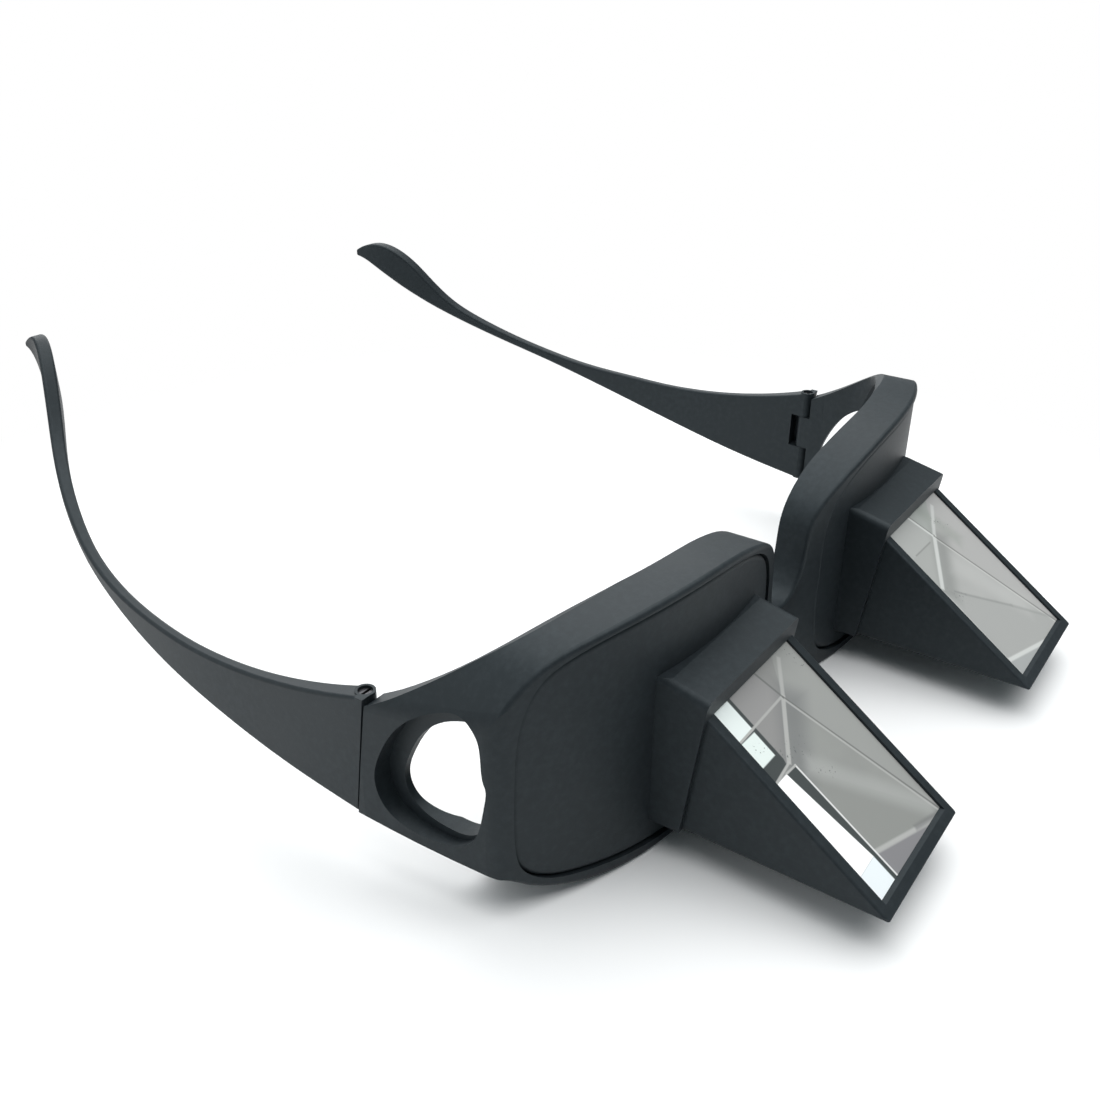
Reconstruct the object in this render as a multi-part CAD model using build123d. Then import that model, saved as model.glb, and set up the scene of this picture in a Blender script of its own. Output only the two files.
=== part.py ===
from build123d import *
import os
from math import sqrt

os.makedirs("parts", exist_ok=True)

# Prism bed glasses, in millimetres, standing as they are photographed: on the brow edge, with the
# nose notch and the slanted windows upward and the front toward -Y. Everything is modelled for the
# side at +X, which is the wearer's right, and mirrored for the other side.
# Y is measured from the hinge pins until the end, where the whole part is centred on its footprint.

# Front frame
half_width = 72.2
cup_height = 42.4
front_reach = 32.6
front_radius = 78.0
front_centre = 30.0
bridge_half = 8.0
rim_corner_x = 69.7
rim_corner_rounding = 4.0
arm_bow = 0.2
arm_rounding = 5.0
arm_drop = 0.9
hinge_top = 29.8
hinge_bottom = 9.5
shelf_depth = 14.0
shelf_height = 4.5
wall_rise = 12.0
wall_depth = 3.2
rim_rounding = 0.7
overrun = 30.0

# Front panel and the collar that stands out of it
panel_thickness = 2.0
panel_recess = 0.3
panel_clearance = 0.1
panel_rounding = 1.0
ledge = 1.2
eye_spacing = 64.0
collar_width = 28.2
collar_front_top = 29.3
collar_back_top = 30.7
collar_stand = 3.0
collar_lean = 3.1
collar_rounding = 1.2
boss_reach = 28.4

# Prism, its housing and the bezel on the eye side
window_width = 22.8
housing_wall = 1.8
housing_floor = 1.2
housing_bottom = 6.0
window_top = 26.3
wedge_reach = 66.7
window_rim = 1.9
housing_rounding = 0.4
wedge_tip_rounding = 0.2
wedge_corner_rounding = 1.5
glass_recess = 0.4
glue_gap = 0.05
bezel_thickness = 1.6
bezel_lap = 1.4
bezel_border = 1.8

# Vent in each side arm
vent_front = -19.9
vent_back = -2.2
vent_top = 32.4
vent_bottom = 10.2
vent_step = 3.2
vent_inset = 1.4
vent_shift = 1.5

# Hinge
pin_inset = 2.1
knuckle_radius = 1.45
tongue_bottom = 17.2
tongue_top = 24.3
knuckle_gap = 0.1
leaf_gap = 0.25
leaf_lean = 1.5
slot_back = 2.8
arm_thickness = 3.6
pin_radius = 0.7
pin_clearance = 0.05
screw_head_radius = 1.0
screw_head_height = 1.2
screw_recess = 0.4
screw_seat_clearance = 0.05
screw_end_cover = 1.2
driver_slot_width = 0.45
driver_slot_depth = 0.5

# Temple
temple_length = 110.0
temple_inset = 26.6
temple_height = 52.9
temple_rounding = 0.5

# Outline of the front frame seen from the front, from the bottom of the nose notch over the cup to
# the hinge, as shares of the half width and of the cup height.
cup_top_shares = [
    (0.0, 0.44), (0.05, 0.468), (0.08, 0.55), (0.09, 0.665), (0.104, 0.755), (0.134, 0.815),
    (0.175, 0.862), (0.235, 0.91), (0.3, 0.947), (0.39, 0.982), (0.49, 0.998), (0.59, 1.0),
    (0.69, 0.992), (0.78, 0.976), (0.84, 0.957), (0.885, 0.926), (0.919, 0.882), (0.945, 0.832),
    (0.967, 0.775),
]
cup_bottom_shares = [
    (0.975, 0.186), (0.945, 0.158), (0.91, 0.113), (0.86, 0.068), (0.8, 0.034), (0.73, 0.012),
    (0.65, 0.0),
]

# Outline of the front panel, inside that of the frame, in the same shares.
panel_outline_shares = [
    (0.146, 0.42), (0.146, 0.58), (0.153, 0.7), (0.184, 0.802), (0.25, 0.884), (0.34, 0.94),
    (0.45, 0.969), (0.58, 0.975), (0.71, 0.965), (0.82, 0.936), (0.88, 0.888), (0.912, 0.806),
    (0.928, 0.7), (0.935, 0.5), (0.935, 0.3), (0.921, 0.19), (0.88, 0.125), (0.81, 0.085),
    (0.72, 0.058), (0.62, 0.042), (0.48, 0.036), (0.34, 0.04), (0.23, 0.058), (0.174, 0.115),
    (0.15, 0.25),
]

# Back edge of the cup wall, from the middle to the arm, as shares of the half width and of the
# front reach.
wall_back_shares = [
    (0.0, 0.69), (0.1, 0.718), (0.17, 0.722), (0.3, 0.746), (0.4, 0.761), (0.52, 0.752),
    (0.68, 0.68), (0.78, 0.601), (0.84, 0.55),
]
arm_inner_shares = [(0.84, 0.55), (0.9, 0.46), (0.927, 0.32), (0.942, 0.15)]

# Top edge of a side arm, as shares of the front reach and of the rise from its end to the cup top.
arm_top_shares = [
    (0.05, 0.0), (0.153, 0.14), (0.276, 0.333), (0.383, 0.515), (0.469, 0.664), (0.56, 0.809),
    (0.65, 0.93), (0.76, 1.028),
]

# Vent outline, as shares of its length from front to back and of its height.
vent_shares = [
    (0.0, 0.57), (0.028, 0.788), (0.065, 0.915), (0.13, 0.975), (0.227, 1.0), (0.359, 0.98),
    (0.519, 0.92), (0.735, 0.775), (0.842, 0.655), (0.935, 0.505), (0.997, 0.33), (0.967, 0.183),
    (0.89, 0.094), (0.751, 0.031), (0.486, 0.0), (0.265, 0.027), (0.125, 0.11), (0.05, 0.24),
    (0.011, 0.4),
]

# Temple edges: share of its length, share of the rise from the hinge to the tip at the upper edge,
# and how deep the temple is below that, as a share of the hinge's height.
temple_edge_shares = [
    (0.0, 0.0, 1.0), (0.06, -0.088, 0.87), (0.136, -0.173, 0.722), (0.205, -0.226, 0.597),
    (0.273, -0.255, 0.485), (0.341, -0.262, 0.387), (0.409, -0.246, 0.303), (0.527, -0.19, 0.164),
    (0.618, -0.085, 0.108), (0.691, 0.045, 0.098), (0.755, 0.2, 0.112), (0.809, 0.385, 0.155),
    (0.855, 0.65, 0.282), (0.877, 0.79, 0.348), (0.9, 0.902, 0.376), (0.923, 0.972, 0.355),
    (0.947, 1.0, 0.287), (0.975, 0.975, 0.159), (1.0, 0.905, 0.04),
]

# How far the temple has come inward along its length, and how thick it is there as shares of the
# arm's thickness.
temple_inset_shares = [
    (0.0, 0.0), (0.136, 0.004), (0.273, 0.015), (0.409, 0.05), (0.527, 0.125), (0.618, 0.22),
    (0.691, 0.334), (0.755, 0.46), (0.809, 0.59), (0.855, 0.72), (0.9, 0.845), (0.945, 0.94),
    (1.0, 1.0),
]
temple_thickness_shares = [
    1.0, 0.66, 0.53, 0.51, 0.53, 0.55, 0.58, 0.61, 0.64, 0.67, 0.7, 0.72, 0.72,
]

# Sizes that follow from those above
front_centre_y = front_radius - front_reach
axis_x = half_width - pin_inset
inner_x = half_width - arm_thickness
skin_x = axis_x + knuckle_radius + knuckle_gap
collar_x = eye_spacing / 2
collar_foot = front_reach + collar_stand
wedge_width = window_width + 2 * housing_wall
prism_width = window_width - 2 * glue_gap
near = glue_gap
arm_end_top = hinge_top - arm_drop


def front_line_y(x, radius):
    """Y of the front curve of the given radius at x."""
    return front_centre_y - sqrt(radius**2 - (x - front_centre) ** 2)


def on_front(edge):
    """Whether an edge lies all along on the front curve, outside the bridge."""
    if edge.center().X < bridge_half + near:
        return False
    gaps = []
    for share in (0, 1 / 2, 1):
        point = edge.position_at(share)
        gaps.append(abs(point.Y - front_line_y(point.X, front_radius)))
    return max(gaps) < near


def block(x0, x1, y0, y1, z0, z1):
    """A box between two corners."""
    size = Box(x1 - x0, y1 - y0, z1 - z0, align=(Align.MIN, Align.MIN, Align.MIN))
    return Pos(x0, y0, z0) * size


def closed_face(edges):
    """A face from edges that join end to end."""
    return make_face(Curve() + edges)


def across(face, x0, x1):
    """A face drawn in Y and Z, made solid from x0 to x1."""
    return Pos(x0, 0, 0) * extrude(Plane.YZ * face, x1 - x0)


def front_to_back(face, y0, y1):
    """A face drawn in X and Z, made solid from y0 to y1."""
    return Pos(0, y1, 0) * extrude(Plane.XZ * face, y1 - y0)


def upward(face, z0, z1):
    """A face drawn in X and Y, made solid from z0 to z1."""
    return Pos(0, 0, z0) * extrude(face, z1 - z0)


def inside_curve(radius):
    """Everything behind the front curve of the given radius."""
    curve = Pos(front_centre, front_centre_y) * Circle(radius)
    return upward(curve, -overrun, cup_height + overrun)


def loop_face(points, grow):
    """A smooth face through points that run clockwise, each first moved outward by grow."""
    moved = []
    for index, (u, v) in enumerate(points):
        before = points[index - 1]
        after = points[(index + 1) % len(points)]
        back = (u - before[0]) ** 2 + (v - before[1]) ** 2
        ahead = (after[0] - u) ** 2 + (after[1] - v) ** 2
        along_u = (u - before[0]) / back + (after[0] - u) / ahead
        along_v = (v - before[1]) / back + (after[1] - v) / ahead
        length = sqrt(along_u**2 + along_v**2)
        moved.append((u - grow * along_v / length, v + grow * along_u / length))
    return make_face(Spline(moved, periodic=True))


def lean_y(z):
    """Y of the slightly leaning joint line between an arm and its temple."""
    share = (z - hinge_bottom) / (hinge_top - hinge_bottom)
    return leaf_lean - 2 * leaf_lean * share


def joint_space(y_front, y_back):
    """The space between two planes that lean as the joint line does, each moved by its own Y."""
    low = hinge_bottom - shelf_height
    high = hinge_top + shelf_height
    corners = [
        (lean_y(low) + y_front, low), (lean_y(low) + y_back, low),
        (lean_y(high) + y_back, high), (lean_y(high) + y_front, high),
    ]
    return across(make_face(Polyline(corners, close=True)), axis_x, half_width + shelf_height)


def panel_face(grow):
    """Outline of the front panel, grown or shrunk all round."""
    points = [(x * half_width, z * cup_height) for x, z in panel_outline_shares]
    return loop_face(points, grow)


def make_front_outline():
    """The frame's half outline seen from the front, as a block."""
    top = [(x * half_width, z * cup_height) for x, z in cup_top_shares]
    top.append((half_width, hinge_top))
    bottom = [(half_width, hinge_bottom)]
    bottom += [(x * half_width, z * cup_height) for x, z in cup_bottom_shares]
    face = closed_face([
        Spline(top),
        Line(top[-1], bottom[0]),
        Spline(bottom),
        Line(bottom[-1], (0, 0)),
        Line((0, 0), top[0]),
    ])
    return front_to_back(face, -front_reach - overrun, overrun)


def make_plan(back_edges):
    """The frame's half plan, from the front curve round to the edges that close it behind."""
    sine = (front_centre - bridge_half) / front_radius
    bridge_radius = bridge_half / sine
    join_y = front_line_y(bridge_half, front_radius)
    middle_y = join_y + bridge_radius * (1 - sqrt(1 - sine**2))
    corner = (rim_corner_x, front_line_y(rim_corner_x, front_radius))
    half_way = (bridge_half + rim_corner_x) / 2
    side_middle = ((rim_corner_x + half_width) / 2 + arm_bow, corner[1] / 2)
    mirror_join = (-bridge_half, join_y)
    bridge = ThreePointArc(mirror_join, (0, middle_y), (bridge_half, join_y))
    outer = [
        bridge.trim(0.5, 1),
        ThreePointArc(
            (bridge_half, join_y),
            (half_way, front_line_y(half_way, front_radius)),
            corner,
        ),
        ThreePointArc(corner, side_middle, (half_width, 0)),
    ]
    return closed_face(outer + back_edges + [Line(back_edges[-1] @ 1, (0, middle_y))])


def thick(plan):
    """A plan made solid from below the frame to above it."""
    return upward(plan, -overrun, cup_height + overrun)


def make_cup_and_arm():
    """Half of the front frame before the panel seat, the vent and the hinge are cut."""
    wall_back = [(x * half_width, -y * front_reach) for x, y in reversed(wall_back_shares)]
    arm_inner = [(x * half_width, -y * front_reach) for x, y in reversed(arm_inner_shares)]
    back_points = arm_inner[:-1] + wall_back
    upper = thick(make_plan([
        Line((half_width, 0), (inner_x, 0)), Line((inner_x, 0), back_points[0]), Spline(back_points),
    ]))

    # The brow edge is a shelf, deeper than the cup wall, that the wall runs down to in a slope.
    shelf_back = -shelf_depth
    wall_line = -front_reach + wall_depth
    slope = make_face(Polyline([
        (-front_reach - overrun, -overrun), (shelf_back, -overrun), (shelf_back, shelf_height),
        (wall_line + wall_rise, wall_rise), (wall_line, cup_height / 2),
        (-front_reach - overrun, cup_height / 2),
    ], close=True))
    shelf = across(slope, 0, rim_corner_x - panel_thickness)
    shelf &= upward(Pos(front_centre, front_centre_y) * Circle(front_radius), 0, cup_height)
    rise = cup_height - arm_end_top
    arm_top = [(-y * front_reach, arm_end_top + z * rise) for y, z in arm_top_shares]
    above_arm = closed_face([
        Spline(arm_top),
        Line(arm_top[-1], (arm_top[-1][0], cup_height + overrun)),
        Line((arm_top[-1][0], cup_height + overrun), (overrun, cup_height + overrun)),
        Line((overrun, cup_height + overrun), (overrun, arm_end_top)),
        Line((overrun, arm_end_top), arm_top[0]),
    ])
    body = (upper + shelf) & make_front_outline()
    arm_edge = [
        edge for edge in body.edges()
        if edge.bounding_box().min.X > rim_corner_x - near and edge.bounding_box().min.Z > hinge_bottom
        and edge.bounding_box().size.Y > arm_thickness
    ]
    body = fillet(arm_edge, arm_rounding)
    body -= across(above_arm, 0, half_width + overrun)
    body = fillet([edge for edge in body.edges() if on_front(edge)], rim_rounding)

    # The upright corner between the front and the arm is rounded too.
    plan = make_plan([
        Line((half_width, 0), (half_width, overrun)), Line((half_width, overrun), (0, overrun)),
    ])
    turn = [vertex for vertex in plan.vertices() if abs(vertex.X - rim_corner_x) < near]
    return body & thick(fillet(turn, rim_corner_rounding))


def make_panel_pocket():
    """The recess that a panel drops into from the front; its bottom is the ledge."""
    pocket = front_to_back(panel_face(panel_clearance), -front_reach - overrun, 0)
    return pocket - inside_curve(front_radius - panel_recess - panel_thickness)


def make_eye_opening():
    """The hole behind a panel, smaller than the panel by the ledge all round."""
    return front_to_back(panel_face(-ledge), -front_reach - overrun, overrun)


def vent_face(grow):
    """Outline of the vent in Y and Z."""
    length = vent_back - vent_front
    height = vent_top - vent_bottom
    points = [(vent_front + y * length, vent_bottom + z * height) for y, z in vent_shares]
    return loop_face(points, grow)


def make_vent():
    """The egg-shaped hole through an arm; its inner end is smaller and lies farther forward."""
    step_x = half_width - vent_step
    outer = across(vent_face(0), step_x, half_width + overrun)
    inner = across(vent_face(-vent_inset), half_width - overrun, step_x)
    return outer + Pos(0, -vent_shift, 0) * inner


def round_bar(radius, z0, z1):
    """An upright bar on the hinge axis."""
    return upward(Pos(axis_x, 0) * Circle(radius), z0, z1)


def make_screw():
    """Hinge screw, head up, with a driver slot."""
    head_top = hinge_top - screw_recess
    head_bottom = head_top - screw_head_height
    screw = round_bar(screw_head_radius, head_bottom, head_top)
    screw += round_bar(pin_radius, hinge_bottom + screw_end_cover, head_bottom)
    slot = Box(2 * screw_head_radius, driver_slot_width, 2 * driver_slot_depth)
    return screw - Pos(axis_x, 0, head_top) * slot


def make_front_half():
    """Half of the front frame, with the middle knuckle of its hinge."""
    half = make_cup_and_arm() - make_panel_pocket()
    half -= make_eye_opening()
    half -= make_vent()

    # The tongue stands alone: above and below it the arm stops short of the temple's knuckles.
    inner = inner_x - arm_thickness
    stop = -knuckle_radius - leaf_gap
    high = hinge_top + shelf_height
    half -= block(inner, skin_x, stop, overrun, tongue_top, high)
    half -= block(inner, skin_x, stop, overrun, -overrun, tongue_bottom)
    half += round_bar(knuckle_radius, tongue_bottom, tongue_top)

    # A thin skin outside the knuckles runs on to the leaning joint line.
    half += block(skin_x, half_width, 0, 2 * leaf_lean, hinge_bottom, arm_end_top)
    ahead = joint_space(-leaf_gap / 2, overrun)
    ahead -= block(axis_x, skin_x, -overrun, overrun, tongue_bottom, tongue_top)
    half -= ahead
    return half - round_bar(pin_radius + pin_clearance, -overrun, cup_height)


def make_front_frame():
    """The whole front frame."""
    half = make_front_half()
    return half + mirror(half, about=Plane.YZ)


def collar_profile():
    """The collar seen from the side: its front face leans, its top rises toward the panel."""
    return make_face(Polyline([
        (-collar_foot - collar_lean, collar_front_top), (-collar_foot, housing_bottom),
        (-boss_reach, housing_bottom), (-boss_reach, collar_back_top),
        (-front_reach, collar_back_top),
    ], close=True))


def seam_y(z):
    """Y of the leaning face where the housing meets the collar."""
    share = (z - housing_bottom) / (collar_front_top - housing_bottom)
    return -collar_foot - share * collar_lean


def make_panel():
    """Front panel with its collar and the square bore through both."""
    plate = front_to_back(panel_face(0), -front_reach - overrun, 0)
    plate &= inside_curve(front_radius - panel_recess)
    plate -= inside_curve(front_radius - panel_recess - panel_thickness)
    front_edge = sorted(plate.edges(), key=lambda edge: edge.bounding_box().min.Y)[0]
    plate = fillet(front_edge, panel_rounding)
    half_collar = collar_width / 2
    collar = across(collar_profile(), collar_x - half_collar, collar_x + half_collar)
    upper_sides = [
        edge for edge in collar.edges()
        if edge.bounding_box().min.Z > window_top and edge.bounding_box().size.X < near
        and edge.bounding_box().min.Y < -collar_foot
    ]
    panel = plate + fillet(upper_sides, collar_rounding)
    half_bore = window_width / 2
    bore_bottom = housing_bottom + housing_floor
    return panel - block(
        collar_x - half_bore, collar_x + half_bore,
        -front_reach - overrun, 0, bore_bottom, window_top,
    )


def wedge_profile():
    """The housing seen from the side: upright seam at the back, window slanting down to the tip."""
    return make_face(Polyline([
        (seam_y(window_top), window_top), (seam_y(housing_bottom), housing_bottom),
        (-wedge_reach, housing_bottom),
    ], close=True))


def slant_shift(depth):
    """Y move that sinks the slanted window face by the given depth."""
    run = wedge_reach + seam_y(window_top)
    rise = window_top - housing_bottom
    return depth * sqrt(run**2 + rise**2) / rise


def make_housing():
    """Wedge-shaped housing, open at the window and at the seam."""
    half_wedge = wedge_width / 2
    half_window = window_width / 2
    shell = across(wedge_profile(), collar_x - half_wedge, collar_x + half_wedge)
    tip = sorted(shell.edges(), key=lambda edge: edge.bounding_box().max.Y)[0]
    shell = fillet(tip, wedge_tip_rounding)
    half_run = (wedge_reach - collar_foot) / 2
    long_sides = [edge for edge in shell.edges() if edge.bounding_box().size.Y > half_run]
    shell = fillet(long_sides, housing_rounding)
    plan = RectangleRounded(wedge_width, 2 * wedge_reach, wedge_corner_rounding)
    shell &= upward(Pos(collar_x, 0) * plan, 0, cup_height)
    floor_top = housing_bottom + housing_floor
    run = wedge_reach + seam_y(window_top)
    rise = window_top - housing_bottom
    rim_run = window_rim * run / sqrt(run**2 + rise**2)
    hollow = block(
        collar_x - half_window, collar_x + half_window,
        -wedge_reach + rim_run, 0, floor_top, window_top + overrun,
    )
    return shell - hollow


def make_prism():
    """Glass wedge that fills the housing and the collar's bore."""
    bottom = housing_bottom + housing_floor + glue_gap
    run = wedge_reach + seam_y(window_top)
    rise = window_top - housing_bottom
    front_y = -wedge_reach + slant_shift(glass_recess) + (bottom - housing_bottom) * run / rise
    top = window_top - glue_gap
    top_y = seam_y(window_top) + slant_shift(glass_recess) - glue_gap * run / rise
    profile = make_face(Polyline([
        (front_y, bottom), (-boss_reach, bottom), (-boss_reach, top), (top_y, top),
    ], close=True))
    half_prism = prism_width / 2
    return across(profile, collar_x - half_prism, collar_x + half_prism)


def make_bezel():
    """Square frame glued over the back of the collar, lapping over the edge of the glass."""
    border = bezel_border
    half_outer = window_width / 2 + border
    half_inner = window_width / 2 - bezel_lap
    low = housing_bottom + housing_floor
    ring = block(
        collar_x - half_outer, collar_x + half_outer,
        -boss_reach, -boss_reach + bezel_thickness, low - housing_floor, window_top + border,
    )
    return ring - block(
        collar_x - half_inner, collar_x + half_inner,
        -front_reach, 0, low + bezel_lap, window_top - bezel_lap,
    )


def temple_profile():
    """The temple seen from the side."""
    rise = temple_height - hinge_top
    hinge_height = hinge_top - hinge_bottom
    top = []
    bottom = []
    for along, up, depth in temple_edge_shares:
        top_z = hinge_top + up * rise
        top.append((along * temple_length, top_z))
        bottom.append((along * temple_length, top_z - depth * hinge_height))
    return closed_face([
        Line(bottom[0], top[0]), Spline(top), Line(top[-1], bottom[-1]), Spline(bottom),
    ])


def temple_plan():
    """The temple seen from above: it thins toward the tip and comes inward."""
    outer = [(half_width - x * temple_inset, y * temple_length) for y, x in temple_inset_shares]
    inner = []
    for index, (x, y) in enumerate(outer):
        before = outer[max(index - 1, 0)]
        after = outer[min(index + 1, len(outer) - 1)]
        along_x = after[0] - before[0]
        along_y = after[1] - before[1]
        length = sqrt(along_x**2 + along_y**2)
        thickness = arm_thickness * temple_thickness_shares[index]
        inner.append((x - thickness * along_y / length, y + thickness * along_x / length))
    return closed_face([
        Spline(outer), Line(outer[-1], inner[-1]), Spline(inner), Line(inner[0], outer[0]),
    ])


def make_temple():
    """Temple with the fork of its hinge."""
    blade = across(temple_profile(), 0, half_width + overrun)
    blade &= upward(temple_plan(), -overrun, temple_height + overrun)
    rounded = [
        edge for edge in blade.edges()
        if edge.length > temple_length / 2 or edge.bounding_box().min.Y > temple_length / 2
    ]
    blade = fillet(rounded, temple_rounding)
    blade += block(axis_x, half_width, -2 * leaf_lean, 0, hinge_bottom, hinge_top)
    blade -= joint_space(-overrun, leaf_gap / 2)
    blade += round_bar(knuckle_radius, hinge_bottom, hinge_top)

    # The slot takes the tongue of the front frame.
    slot_low = tongue_bottom - knuckle_gap
    slot_high = tongue_top + knuckle_gap
    blade -= block(inner_x - arm_thickness, skin_x, -overrun, slot_back, slot_low, slot_high)

    # Hole for the screw, with a seat for its head.
    head_bottom = hinge_top - screw_recess - screw_head_height
    seat_radius = screw_head_radius + screw_seat_clearance
    blade -= round_bar(seat_radius, head_bottom, hinge_top + shelf_height)
    return blade - round_bar(pin_radius, hinge_bottom + screw_end_cover, hinge_top)


shapes = {"front_frame": make_front_frame()}
right_side = {
    "front_panel": make_panel(),
    "prism_housing": make_housing(),
    "prism": make_prism(),
    "eye_bezel": make_bezel(),
    "temple": make_temple(),
    "hinge_screw": make_screw(),
}
for name, shape in right_side.items():
    shapes[name + "_right"] = shape
    shapes[name + "_left"] = mirror(shape, about=Plane.YZ)

# The origin is under the middle of the whole part.
middle_y = (temple_length - wedge_reach) / 2
for name, shape in shapes.items():
    placed = Pos(0, -middle_y, 0) * shape
    export_step(placed, "parts/" + name + ".step")
    box = placed.bounding_box()
    print(name, "volume", round(placed.volume, 1), "from", box.min, "to", box.max)
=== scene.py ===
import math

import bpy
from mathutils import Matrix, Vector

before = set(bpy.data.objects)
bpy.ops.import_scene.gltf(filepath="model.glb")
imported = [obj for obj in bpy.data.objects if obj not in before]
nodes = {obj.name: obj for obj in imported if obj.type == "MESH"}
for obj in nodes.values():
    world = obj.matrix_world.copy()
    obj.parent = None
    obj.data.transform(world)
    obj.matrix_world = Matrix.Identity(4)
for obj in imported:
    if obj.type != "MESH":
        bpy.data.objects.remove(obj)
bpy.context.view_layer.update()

# %% [markdown]
# # Prism glasses for reading while lying down
# These spectacles stand on their straight brow edge, so the nose notch points up. A dark plastic
# front with wide side arms carries two panels, each panel carries a wedge-shaped housing, and a
# glass prism fills the housing. Two temples fold on screwed hinges. The loaded frame already holds
# every one of these pieces at its true size, so this lesson is about finish, light and view.

print("pieces from the frame:", sorted(nodes))

# %% [markdown]
# ## Writing shader maths as plain expressions
# A material's pattern is made of many small maths nodes. Adding each one by hand hides the idea, so
# a small class wraps a socket and lets Python's own operators add the nodes. Other kinds of node
# come from a single method that takes the node's type, its settings and its inputs.


# %% A wrapped socket
class Wire:
    """An output of a node that can be used in sums."""

    def __init__(self, recipe, socket):
        self.recipe = recipe
        self.socket = socket

    def _maths(self, operation, first, second=None):
        inputs = {0: first} if second is None else {0: first, 1: second}
        return self.recipe.node("ShaderNodeMath", {"operation": operation}, inputs)

    def __add__(self, other):
        return self._maths("ADD", self, other)

    def __radd__(self, other):
        return self._maths("ADD", other, self)

    def __sub__(self, other):
        return self._maths("SUBTRACT", self, other)

    def __rsub__(self, other):
        return self._maths("SUBTRACT", other, self)

    def __mul__(self, other):
        return self._maths("MULTIPLY", self, other)

    def __truediv__(self, other):
        return self._maths("DIVIDE", self, other)

    def size(self):
        return self._maths("ABSOLUTE", self)

    def larger(self, other):
        return self._maths("MAXIMUM", self, other)

    def smaller(self, other):
        return self._maths("MINIMUM", self, other)


# %% A recipe for one material
class Recipe:
    """One material whose nodes are added by name."""

    def __init__(self, name):
        self.material = bpy.data.materials.new(name)
        self.material.use_nodes = True
        self.tree = self.material.node_tree
        self.tree.nodes.clear()
        self.output = self.tree.nodes.new("ShaderNodeOutputMaterial")

    def node(self, kind, settings=None, inputs=None, output=0):
        made = self.tree.nodes.new(kind)
        for key, value in (settings or {}).items():
            if key == "stops":
                ramp = made.color_ramp
                while len(ramp.elements) < len(value):
                    ramp.elements.new(1.0)
                for stop, (place, colour) in zip(ramp.elements, value):
                    stop.position = place
                    stop.color = colour
            else:
                setattr(made, key, value)
        for key, value in (inputs or {}).items():
            if isinstance(value, Wire):
                self.tree.links.new(value.socket, made.inputs[key])
            else:
                made.inputs[key].default_value = value
        return Wire(self, made.outputs[output])

    def place(self):
        """Where a point lies on the object, in metres."""
        return self.node("ShaderNodeTexCoord", output="Object")

    def axes(self):
        """The three parts of that place, each as a value in millimetres."""
        split = self.node("ShaderNodeSeparateXYZ", inputs={0: self.place()}).socket.node
        return [Wire(self, split.outputs[axis]) * 1000.0 for axis in range(3)]

    def dot(self, vector, parts):
        """The sum of a vector's parts, each times a number."""
        settings = {"operation": "DOT_PRODUCT"}
        return self.node("ShaderNodeVectorMath", settings, {0: vector, 1: parts}, output=1)

    def ramp(self, value, low, high):
        """Zero at low and one at high, with a soft start and end."""
        settings = {"interpolation_type": "SMOOTHSTEP"}
        if low < high:
            return self.node("ShaderNodeMapRange", settings, {0: value, 1: low, 2: high})
        falling = {0: value, 1: high, 2: low, 3: 1.0, 4: 0.0}
        return self.node("ShaderNodeMapRange", settings, falling)

    def noise(self, scale, detail=2.0, roughness=0.5, stretch=(1.0, 1.0, 1.0)):
        where = self.node("ShaderNodeMapping", inputs={0: self.place(), 3: stretch})
        values = {0: where, "Scale": scale, "Detail": detail, "Roughness": roughness}
        return self.node("ShaderNodeTexNoise", inputs=values)

    def blend_colours(self, share, first, second):
        settings = {"data_type": "RGBA"}
        first, second = (
            colour if isinstance(colour, Wire) else tuple(colour)[:3] + (1.0,)
            for colour in (first, second)
        )
        return self.node("ShaderNodeMix", settings, {0: share, 6: first, 7: second}, output=2)

    def finish(self, **inputs):
        values = {key.replace("_", " "): value for key, value in inputs.items()}
        shader = self.node("ShaderNodeBsdfPrincipled", inputs=values)
        self.tree.links.new(shader.socket, self.output.inputs[0])
        return self.material


# %% [markdown]
# ## The dark plastic
# The frame is injection-moulded plastic with a fine matt skin. Two things make such a skin look
# real: it is nearly black but not quite, and its gloss drifts a little from place to place. A very
# fine bump breaks up reflections, a broad soft noise changes the roughness, and a faint haze of
# lighter dust sits in the colour.


# %% Moulded plastic
DUST_SCALE, PATCH_SCALE = 900.0, 55.0      # how fine the dust and the gloss patches are
BUMP_DEPTH = 0.00006                       # metres


def moulded_plastic(name, colour, gloss, grain):
    recipe = Recipe(name)
    dust = recipe.noise(DUST_SCALE, 3.0, 0.6)
    patches = recipe.noise(PATCH_SCALE, 2.0, 0.5)
    lighter = tuple(min(1.0, part * 1.45 + 0.003) for part in colour) + (1.0,)
    haze = recipe.node(
        "ShaderNodeMapRange",
        {"interpolation_type": "SMOOTHSTEP"},
        {0: dust * 0.6 + patches * 0.4, 1: 0.4, 2: 0.72, 3: 0.0, 4: 0.8},
    )
    shade = recipe.blend_colours(haze, colour + (1.0,), lighter)
    skin = recipe.noise(grain, 2.0, 0.55)
    height = skin * 0.8 + dust * 0.2
    bump = recipe.node(
        "ShaderNodeBump", inputs={"Strength": 0.16, "Distance": BUMP_DEPTH, "Height": height})
    rough = gloss + (patches - 0.5) * 0.12 + (skin - 0.5) * 0.06
    return recipe.finish(
        Base_Color=shade, Roughness=rough, Normal=bump,
        Specular_IOR_Level=0.3, Specular_Tint=(0.85, 0.96, 1.0, 1.0))


plastic = moulded_plastic("matt black plastic", (0.0138, 0.018, 0.0212), 0.5, 2600.0)
print("made", plastic.name)

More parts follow.
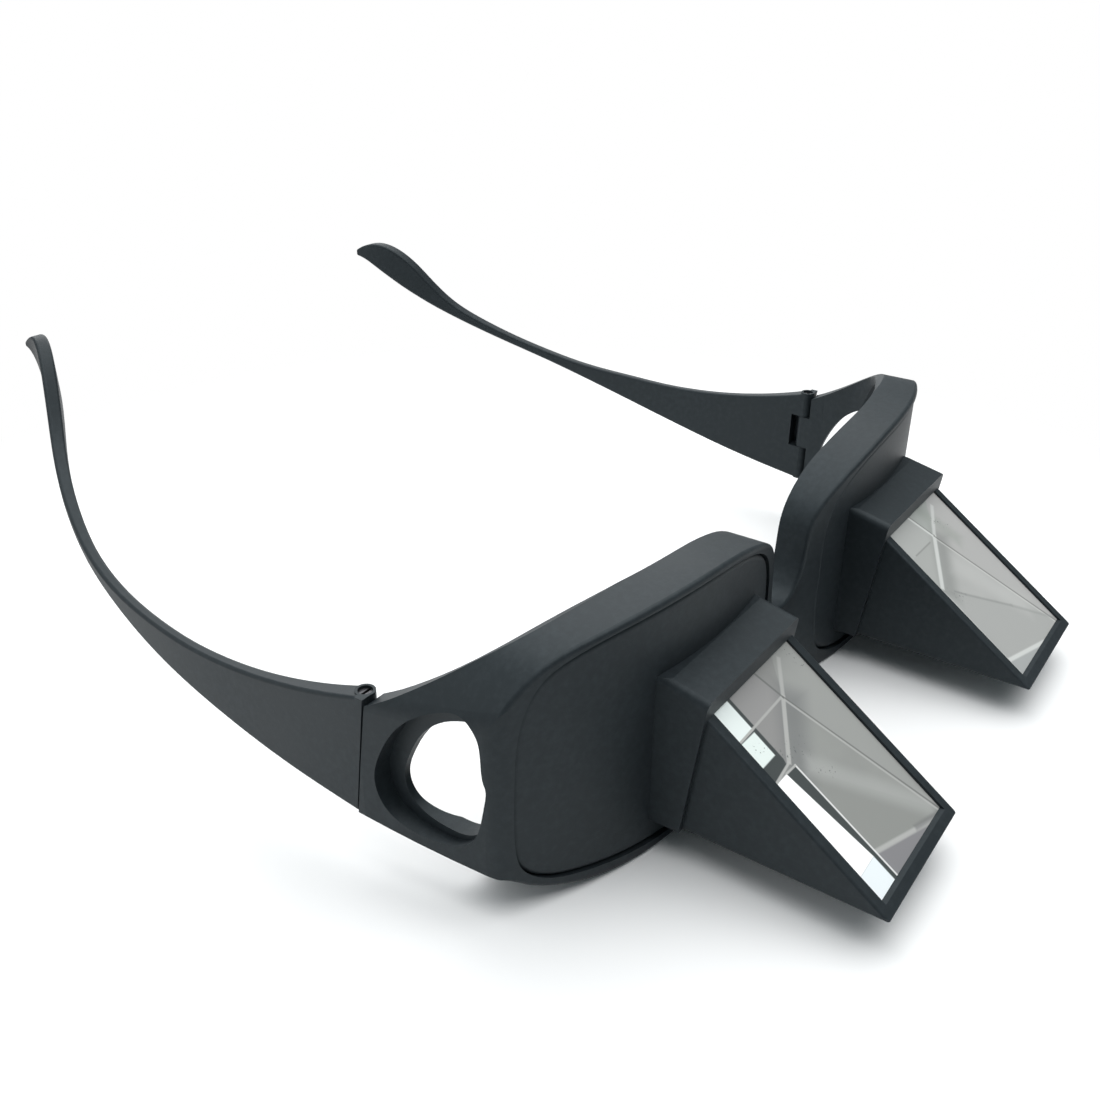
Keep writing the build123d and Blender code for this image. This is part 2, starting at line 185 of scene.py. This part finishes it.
# %% [markdown]
# ## The glass
# Each prism is a solid block of optical glass in a black housing. What shows through its slanted
# window is painted reflection: soft grey facets stand for the block's inner reflections, fine bright
# lines are painted highlights where those reflected faces meet, and on one side a painted reflection
# of white room lies between dark painted bars. True refraction would need the block's hidden mirror
# faces, so the facets are laid out as a drawing on the window instead. Every point is given in
# millimetres across the window from its middle line and down its slope from the top edge, so the
# drawing keeps its place from every side.


# %% Where a point lies on a window
WINDOW_TOP = 26.3
WINDOW_FALL = 0.5815       # height lost per millimetre down the slope
EYE_SPACING = 64.0


def on_window(recipe, side):
    """Across and down the slanted window as a flat vector whose third part is one."""
    x, y, z = recipe.axes()
    across = x - side * EYE_SPACING / 2.0
    down = (WINDOW_TOP - z) / WINDOW_FALL
    return recipe.node("ShaderNodeCombineXYZ", inputs={0: across, 1: down, 2: 1.0})


def from_line(recipe, spot, start, end):
    """How far a spot lies to the right of the line from start to end, in millimetres."""
    across, down = end[0] - start[0], end[1] - start[1]
    length = math.hypot(across, down)
    right = (-down / length, across / length)
    shift = -(right[0] * start[0] + right[1] * start[1])
    return recipe.dot(spot, (right[0], right[1], shift))


# %% Facets and lines
def facet(recipe, spot, corners, softness=0.12):
    """A mask for a flat facet whose corners run round one way."""
    inside = None
    for start, end in zip(corners, corners[1:] + corners[:1]):
        gap = from_line(recipe, spot, start, end)
        inside = gap if inside is None else inside.smaller(gap)
    return recipe.ramp(inside, -softness, softness)


def line(recipe, spot, start, end, width, softness):
    """A mask for a straight line of a given width that fades at its sides."""
    across, down = end[0] - start[0], end[1] - start[1]
    length = math.hypot(across, down)
    along = recipe.dot(spot, (
        across / length, down / length, -(across * start[0] + down * start[1]) / length))
    side = from_line(recipe, spot, start, end).size()
    away = side.larger(along - length).larger(0.0 - along)
    return recipe.ramp(away, width / 2 + softness, width / 2)


# %% [markdown]
# Two tables hold the drawing, one for each window, and all of it is painted reflection with painted
# highlight lines. A facet is a colour and its corners, and a line is a colour, its two ends, its
# width, how softly it fades and how strong it is. Later entries lie over earlier ones.

# %% The drawing for the wearer's left window
# Grey for the painted reflection's facets, pale for painted highlight lines, deep for dark painted
# bars and white for the painted reflection of the room.
GREY = (0.277, 0.282, 0.268)
PALE = (0.42, 0.42, 0.405)
DEEP = (0.055, 0.062, 0.062)
WHITE = (1.0, 1.0, 1.0)
left_facets = [
    ((0.304, 0.308, 0.295), [(1.5, 5.8), (7.2, 0.0), (12.0, 0.0), (12.0, 35.0)]),
    ((0.264, 0.264, 0.255), [(0.6, -1.0), (7.6, -1.0), (2.1, 5.8)]),
    ((0.282, 0.277, 0.273), [(-7.0, -1.0), (0.4, -1.0), (2.1, 5.8), (-7.0, 5.75)]),
    ((0.264, 0.26, 0.255), [(-7.0, 5.75), (2.1, 5.8), (-6.3, 12.3), (-7.0, 12.3)]),
    ((0.255, 0.26, 0.246), [(-6.2, 12.8), (11.3, 33.2), (8.4, 33.4), (-5.6, 28.6)]),
    ((0.22, 0.216, 0.224), [(-5.6, 28.6), (8.6, 33.0), (8.6, 36.0), (-5.6, 36.0)]),
]
left_lines = [
    ((0.176, 0.18, 0.18), (2.6, 7.2), (-5.2, 13.4), 0.5, 4.2, 0.75),
    ((0.378, 0.383, 0.37), (-3.0, 15.4), (9.5, 31.0), 0.3, 2.6, 0.6),
    (PALE, (7.2, 1.6), (2.1, 5.8), 0.35, 0.35, 0.8),
    (PALE, (2.1, 5.8), (-6.2, 12.2), 0.45, 0.3, 0.9),
    (PALE, (2.3, 5.6), (-10.9, 5.75), 0.16, 0.2, 0.8),
    ((0.141, 0.145, 0.141), (0.8, 0.2), (2.1, 5.8), 0.2, 0.16, 0.8),
    ((0.15, 0.15, 0.145), (2.1, 5.8), (11.2, 32.9), 0.2, 0.18, 0.8),
    (PALE, (2.0, 6.3), (10.9, 33.1), 0.16, 0.2, 0.8),
    (PALE, (-5.5, 28.65), (8.6, 32.98), 0.3, 0.4, 0.9),
    ((0.141, 0.141, 0.145), (4.5, 31.5), (10.8, 33.2), 0.1, 0.7, 0.6),
]
# A painted reflection of white room between dark painted bars.
left_strip_reflections = [
    (DEEP, [(-12.0, -1.0), (-6.6, -1.0), (-6.6, 5.5), (-12.0, 5.6)]),
    (DEEP, [(-12.0, 5.9), (-6.65, 5.9), (-6.65, 11.4), (-7.0, 12.3), (-12.0, 12.75)]),
    ((0.77, 0.83, 0.81), [(-12.0, -1.0), (-7.3, -1.0), (-7.3, 5.55), (-12.0, 5.65)]),
    ((0.74, 0.81, 0.78), [(-12.0, 6.0), (-7.45, 6.15), (-7.45, 10.25), (-12.0, 10.2)]),
    (DEEP, [(-12.0, 13.05), (-5.75, 13.3), (-5.4, 33.9), (-12.0, 34.2)]),
    (WHITE, [(-12.0, 12.95), (-8.3, 13.05), (-6.4, 28.75), (-12.0, 28.85)]),
    ((0.78, 0.83, 0.85), [(-12.0, 28.85), (-6.4, 28.75), (-6.3, 36.0), (-12.0, 36.0)]),
]
# Painted highlight lines along the edges of that painted reflection.
left_strip_highlights = [
    (PALE, (-11.2, 12.85), (-6.3, 12.3), 0.18, 0.2, 0.9),
    ((0.7, 0.7, 0.69), (-5.75, 13.2), (-5.35, 34.0), 0.16, 0.16, 0.95),
    (PALE, (-8.2, 13.0), (-5.8, 13.2), 0.16, 0.14, 0.9),
    (PALE, (-7.4, 5.75), (-11.3, 5.75), 0.2, 0.12, 0.9),
]

# %% The drawing for the wearer's right window
# Light is the colour of the painted highlight lines in this window.
LIGHT = (0.6, 0.61, 0.59)
right_facets = [
    ((0.395, 0.4, 0.385), [(-12.0, -1.0), (-2.0, -1.0), (0.2, 6.2), (-12.0, 6.2)]),
    ((0.41, 0.405, 0.395), [(-0.5, 6.2), (7.2, 0.0), (12.0, 0.0), (12.0, 35.0)]),
    ((0.36, 0.375, 0.355), [(-2.0, -1.0), (9.0, -1.0), (0.2, 6.2)]),
    ((0.37, 0.375, 0.36), [(-12.0, 6.2), (0.2, 6.2), (-10.0, 13.1), (-12.0, 13.1)]),
    ((0.37, 0.372, 0.36), [
        (-10.4, 13.6), (-6.0, 16.9), (2.9, 24.6), (11.3, 32.3), (2.0, 33.0), (-10.6, 29.6)]),
    ((0.36, 0.37, 0.365), [(-10.6, 29.6), (2.4, 33.1), (2.4, 36.0), (-12.0, 36.0)]),
]
right_lines = [
    ((0.23, 0.235, 0.225), (1.0, 7.4), (-8.6, 14.2), 0.4, 3.4, 0.7),
    ((0.27, 0.29, 0.26), (3.0, 1.5), (5.5, 9.0), 0.3, 2.6, 0.45),
    ((0.49, 0.49, 0.475), (-1.0, 13.5), (6.0, 25.5), 0.6, 3.6, 0.45),
    (LIGHT, (7.2, 2.2), (0.2, 6.2), 0.3, 0.5, 0.7),
    (LIGHT, (0.2, 6.2), (-10.0, 13.1), 0.5, 0.4, 0.85),
    ((0.25, 0.25, 0.24), (-2.4, 6.4), (-9.0, 6.2), 0.12, 0.18, 0.8),
    (LIGHT, (-2.1, 0.6), (0.0, 6.3), 0.3, 0.2, 0.9),
    ((0.2, 0.2, 0.19), (-1.6, 0.6), (0.4, 6.1), 0.14, 0.14, 0.8),
    ((0.19, 0.19, 0.18), (0.2, 6.2), (11.0, 33.3), 0.2, 0.18, 0.8),
    ((0.55, 0.55, 0.53), (0.0, 6.8), (10.6, 33.4), 0.14, 0.16, 0.7),
    ((0.24, 0.245, 0.235), (-7.9, 15.2), (-6.0, 17.0), 0.12, 0.3, 0.8),
    ((0.26, 0.265, 0.255), (-6.0, 17.0), (2.9, 24.6), 0.12, 0.4, 0.7),
    ((0.29, 0.295, 0.285), (2.9, 24.6), (11.2, 32.3), 0.12, 0.5, 0.6),
    (LIGHT, (-10.6, 29.6), (2.2, 32.95), 0.35, 0.4, 0.9),
    ((0.68, 0.7, 0.68), (-10.9, 13.3), (-10.9, 34.0), 0.2, 0.25, 0.9),
]


# %% [markdown]
# The drawing is also given a painted glow, so the window looks lit from inside though the prism is
# no lamp. The glow uses the same colours as the surface, which keeps the bright strips brighter than
# the grey facets.

# %% Prism glass
PAINTED_GLOW = 0.17
SPECK_SCALE = 2600.0      # how fine the specks of dust are


def prism_glass(name, side, base, layers, marks):
    recipe = Recipe(name)
    spot = on_window(recipe, side)
    cloud = recipe.noise(140.0, 2.0, 0.5)
    darker, lighter = (tuple(part * share for part in base) for share in (0.9, 1.1))
    shade = recipe.blend_colours(cloud, darker, lighter)
    for facets, lines in layers:
        for colour, corners in facets:
            shade = recipe.blend_colours(facet(recipe, spot, corners), shade, colour)
        for colour, start, end, width, softness, strength in lines:
            drawn = line(recipe, spot, start, end, width, softness) * strength
            shade = recipe.blend_colours(drawn, shade, colour)

    # Dust: tiny dark specks that gather in a few spots.
    dust = recipe.ramp(recipe.noise(SPECK_SCALE, 1.0, 0.5), 0.645, 0.7)
    gathered = None
    for start, end, reach in marks:
        near = line(recipe, spot, start, end, 0.2, reach)
        gathered = near if gathered is None else gathered.larger(near)
    shade = recipe.blend_colours(dust * gathered * 0.75, shade, (0.1, 0.11, 0.11))
    # The emission is a painted glow: the drawing shines with its own colours as painted light.
    return recipe.finish(
        Base_Color=shade, Roughness=0.35, Specular_IOR_Level=0.3, Coat_Weight=0.6,
        Coat_Roughness=0.03, Emission_Color=shade, Emission_Strength=PAINTED_GLOW)


glass = {
    "prism_left": prism_glass(
        "prism glass left", -1.0, GREY,
        [(left_facets, left_lines), (left_strip_reflections, left_strip_highlights)],
        [((-5.5, 11.5), (-2.5, 12.0), 2.4), ((-2.8, 16.5), (-0.6, 17.6), 1.2),
         ((10.0, 1.4), (10.6, 4.5), 1.2), ((-9.5, 8.0), (-8.0, 8.6), 1.0)]),
    "prism_right": prism_glass(
        "prism glass right", 1.0, (0.405, 0.405, 0.392),
        [(right_facets, right_lines)],
        [((-9.0, 15.0), (-7.0, 17.5), 1.4), ((4.0, 4.0), (6.0, 6.5), 1.4)]),
}
for name, made in glass.items():
    print(name, "has", len(made.node_tree.nodes), "nodes")

# %% [markdown]
# ## The hinge screws
# Small dark plated screws hold the hinges. Plating is a metal, so the colour goes to its mirror
# light, and fine turning marks keep it from looking like chrome.


# %% Plated steel
def plated_steel(name):
    recipe = Recipe(name)
    marks = recipe.noise(1200.0, 3.0, 0.6, (1.0, 1.0, 6.0))
    shade = recipe.blend_colours(marks, (0.05, 0.05, 0.054, 1.0), (0.16, 0.16, 0.17, 1.0))
    return recipe.finish(Base_Color=shade, Metallic=1.0, Roughness=0.28 + marks * 0.2)


steel = plated_steel("dark plated steel")

# %% Giving every piece its finish
finishes = dict(glass, hinge_screw_left=steel, hinge_screw_right=steel)
for name, piece in nodes.items():
    finish = finishes.get(name, plastic)
    for slot in piece.material_slots:
        slot.material = finish
    print(name, "gets", finish.name)

# %% [markdown]
# ## Floor and light
# The glasses stand on a white table in a white room. A floor that is merely lit bright would throw
# its glare back on the object, so the floor keeps a modest colour for all other light and is made
# white only for the camera and for mirror-like rays. Near the glasses it is still lit, so it keeps
# the soft shadow, and farther off it turns to plain white that needs no light.

# %% Floor
LIT_REACH, WHITE_REACH = 0.1, 0.17      # metres from the middle of the glasses
bpy.ops.object.select_all(action="DESELECT")
bpy.ops.mesh.primitive_plane_add(size=6.0, location=(0.0, 0.0, 0.0))
floor = bpy.context.object
floor.name = "table_top"
table = Recipe("white table")
path = table.node("ShaderNodeLightPath").socket.node
seen = Wire(table, path.outputs["Is Camera Ray"])
seen = seen.larger(Wire(table, path.outputs["Is Glossy Ray"]))
seen = seen.larger(Wire(table, path.outputs["Is Transmission Ray"]))
pale = table.blend_colours(seen, (0.6, 0.6, 0.6), (0.98, 0.98, 0.98))
matt = table.node("ShaderNodeBsdfDiffuse", inputs={"Color": pale})
away = table.node("ShaderNodeVectorMath", {"operation": "LENGTH"}, {0: table.place()}, output=1)
far = table.ramp(away, LIT_REACH, WHITE_REACH) * seen
white = table.node("ShaderNodeEmission", inputs={"Color": (1.0, 1.0, 1.0, 1.0), "Strength": 1.0})
top = table.node("ShaderNodeMixShader", inputs={0: far, 1: matt, 2: white})
table.tree.links.new(top.socket, table.output.inputs[0])
floor.data.materials.append(table.material)

# %% World
# The camera sees a white room, while all other light from it is dim and a little blue.
world = bpy.data.worlds.new("white room")
bpy.context.scene.world = world
world.use_nodes = True
tree = world.node_tree
tree.nodes.clear()
room = tree.nodes.new("ShaderNodeBackground")
room.inputs["Color"].default_value = (0.8, 0.95, 1.0, 1.0)
room.inputs["Strength"].default_value = 0.2
view_room = tree.nodes.new("ShaderNodeBackground")
view_room.inputs["Color"].default_value = (1.0, 1.0, 1.0, 1.0)
view_room.inputs["Strength"].default_value = 1.0
rays = tree.nodes.new("ShaderNodeLightPath")
both = tree.nodes.new("ShaderNodeMath")
both.operation = "MAXIMUM"
tree.links.new(rays.outputs["Is Camera Ray"], both.inputs[0])
tree.links.new(rays.outputs["Is Transmission Ray"], both.inputs[1])
chosen = tree.nodes.new("ShaderNodeMixShader")
tree.links.new(both.outputs[0], chosen.inputs[0])
tree.links.new(room.outputs[0], chosen.inputs[1])
tree.links.new(view_room.outputs[0], chosen.inputs[2])
world_out = tree.nodes.new("ShaderNodeOutputWorld")
tree.links.new(chosen.outputs[0], world_out.inputs[0])


# %% Lamps
def soft_box(name, place, target, width, height, power):
    """A rectangular lamp that faces a point."""
    lamp = bpy.data.lights.new(name, "AREA")
    lamp.shape = "RECTANGLE"
    lamp.size = width
    lamp.size_y = height
    lamp.energy = power
    holder = bpy.data.objects.new(name, lamp)
    bpy.context.scene.collection.objects.link(holder)
    holder.location = place
    direction = Vector(target) - Vector(place)
    holder.rotation_euler = direction.to_track_quat("-Z", "Y").to_euler()


AIM = (0.0, 0.0, 0.02)       # the middle of the glasses
soft_box("overhead", (0.1, -0.06, 0.75), AIM, 1.1, 1.1, 9.3)
soft_box("behind", (0.5, 0.6, 0.42), AIM, 0.9, 0.6, 3.5)
soft_box("left", (-0.55, 0.45, 0.4), AIM, 0.7, 0.5, 1.6)

# %% [markdown]
# ## The camera
# The view was worked out from the photograph: mirrored corners of the two halves fix the lens, the
# distance and the tilt. The camera stands in front of the wearer's left side, looking a little down.

# %% Camera
eye = Vector((-0.15785, -0.11497, 0.11795))
turn = math.radians(-54.33)
tilt = math.radians(28.07)
SENSOR_WIDTH = 36.0
LENS_RATIO = 1142.6 / 1100.0      # the lens's focal length over the picture's width
back = Vector((math.sin(turn) * math.cos(tilt), -math.cos(turn) * math.cos(tilt), math.sin(tilt)))
lens = bpy.data.cameras.new("camera")
lens.sensor_width = SENSOR_WIDTH
lens.lens = SENSOR_WIDTH * LENS_RATIO
viewer = bpy.data.objects.new("camera", lens)
bpy.context.scene.collection.objects.link(viewer)
viewer.location = eye
viewer.rotation_euler = (-back).to_track_quat("-Z", "Y").to_euler()
bpy.context.scene.camera = viewer
bpy.context.scene.view_settings.view_transform = "Standard"
